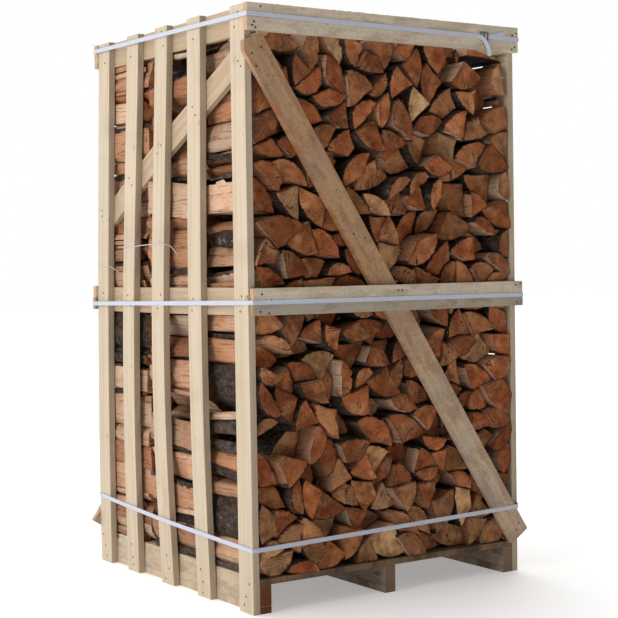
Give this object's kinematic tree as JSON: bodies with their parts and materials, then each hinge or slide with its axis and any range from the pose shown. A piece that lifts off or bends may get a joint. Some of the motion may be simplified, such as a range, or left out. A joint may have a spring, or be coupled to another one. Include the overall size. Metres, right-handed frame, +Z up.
{
  "type": "crate of split firewood",
  "caption": "Slatted softwood pallet crate packed with rows of split hardwood logs, braced with diagonal boards and held by taut white straps.",
  "frame": {"origin": "middle of the underside of the crate's bounding box, on the ground", "axes": "+Z up; -Y is the front, where the log ends show; +X to the right seen from the front"},
  "size_m": [1.2128, 1.2068, 2],
  "materials": {
    "slat_pine": "sawn pale pine",
    "weathered_pine": "sawn pine, greyed",
    "runner_wood": "rough sawn",
    "split_wood": "split and cross-cut hardwood with bark",
    "white_strap": "woven polyester band",
    "buckle_wire": "phosphated wire",
    "white_twine": "twisted twine"
  },
  "bodies": {
    "root": {"left_slat_1": "slat_pine", "left_slat_2": "slat_pine", "left_slat_3": "slat_pine", "left_slat_4": "slat_pine", "left_slat_5": "slat_pine", "left_top_rail": "slat_pine", "left_middle_rail": "slat_pine", "left_brace": "slat_pine", "right_slat_1": "slat_pine", "right_slat_2": "slat_pine", "right_slat_3": "slat_pine", "right_slat_4": "slat_pine", "right_slat_5": "slat_pine", "right_top_rail": "slat_pine", "right_middle_rail": "slat_pine", "right_brace": "slat_pine", "front_top_lath_lower": "weathered_pine", "front_middle_lath_lower": "weathered_pine", "front_top_lath_upper": "weathered_pine", "front_middle_lath_upper": "weathered_pine", "front_brace": "weathered_pine", "back_top_lath_lower": "weathered_pine", "back_middle_lath_lower": "weathered_pine", "back_top_lath_upper": "weathered_pine", "back_middle_lath_upper": "weathered_pine", "back_brace": "weathered_pine", "left_skid": "runner_wood", "left_stringer": "runner_wood", "middle_skid": "runner_wood", "middle_stringer": "runner_wood", "right_skid": "runner_wood", "right_stringer": "runner_wood", "deck_board_1": "runner_wood", "deck_board_2": "runner_wood", "deck_board_3": "runner_wood", "deck_board_4": "runner_wood", "deck_board_5": "runner_wood", "deck_board_6": "runner_wood", "log_row_front": "split_wood", "log_row_middle": "split_wood", "log_row_rear": "split_wood", "strap_top": "white_strap", "strap_middle": "white_strap", "strap_bottom": "white_strap", "strap_buckle": "buckle_wire", "twine_middle": "white_twine", "twine_rear": "white_twine"}
  },
  "joints": []
}
